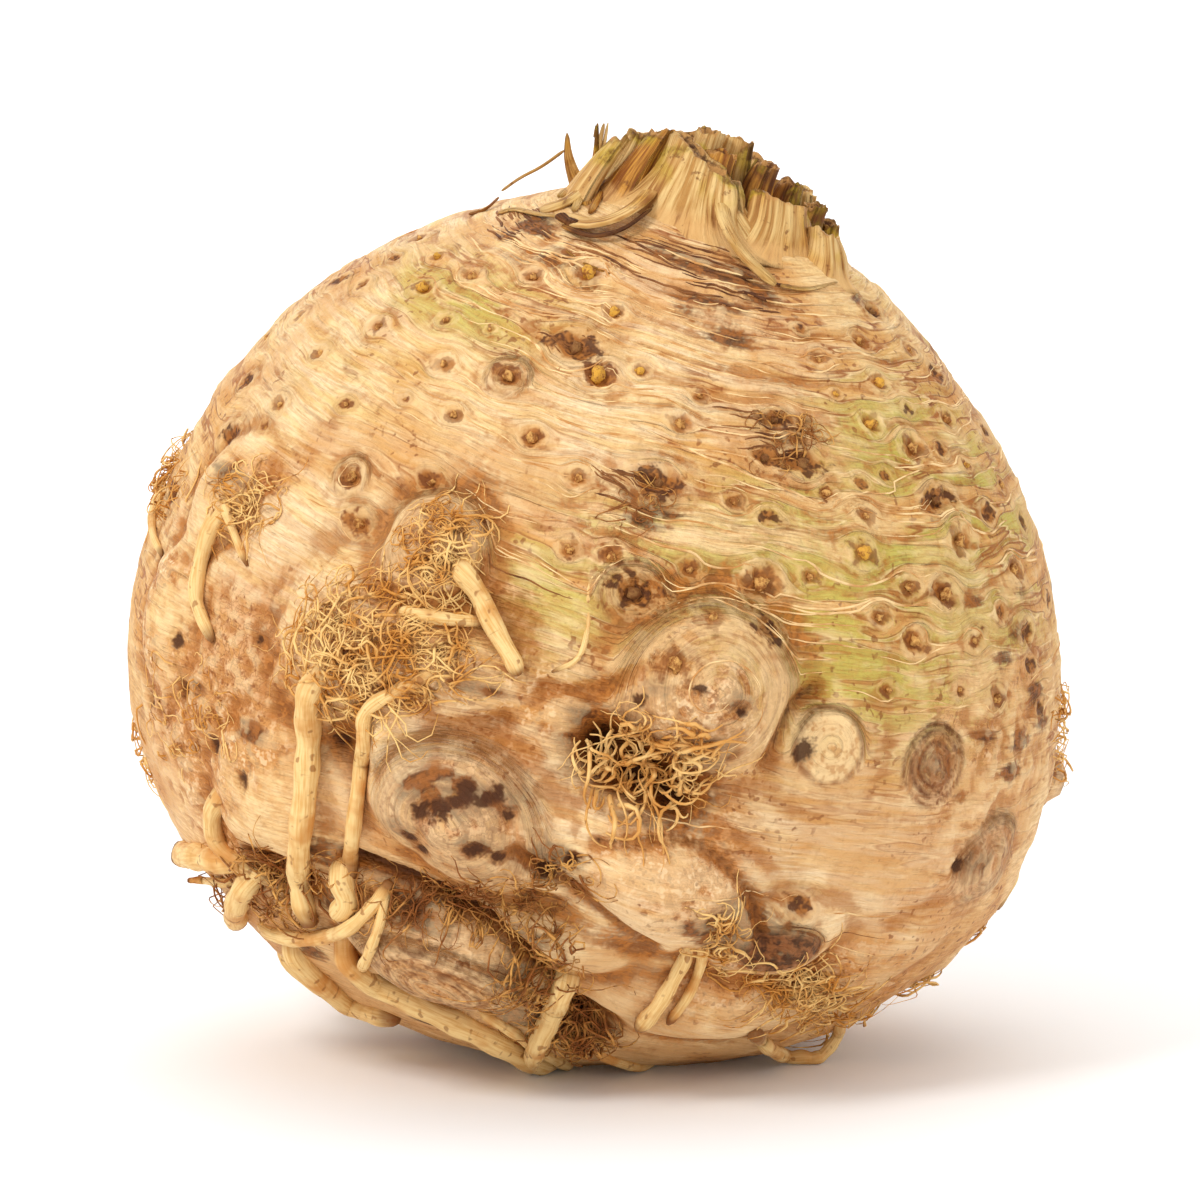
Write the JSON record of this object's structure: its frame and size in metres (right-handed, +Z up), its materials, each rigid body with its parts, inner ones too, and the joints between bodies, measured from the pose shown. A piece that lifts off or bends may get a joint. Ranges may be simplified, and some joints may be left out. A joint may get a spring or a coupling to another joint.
{
  "type": "celeriac root",
  "caption": "Knobbly round celeriac root with cut leaf-stalk bases on its crown and side roots below, resting on a small flat spot.",
  "frame": {"origin": "centre of the small flat spot on the underside, where the root rests on a surface", "axes": "+Z up through the crown, +X to the right and -Y towards the viewer in the picture"},
  "size_m": [0.1307, 0.1307, 0.1291],
  "materials": {
    "skin": "matte, rough corky skin, tan and cream with brown scars and greenish patches"
  },
  "bodies": {
    "root": {"celeriac": "skin"}
  },
  "joints": []
}
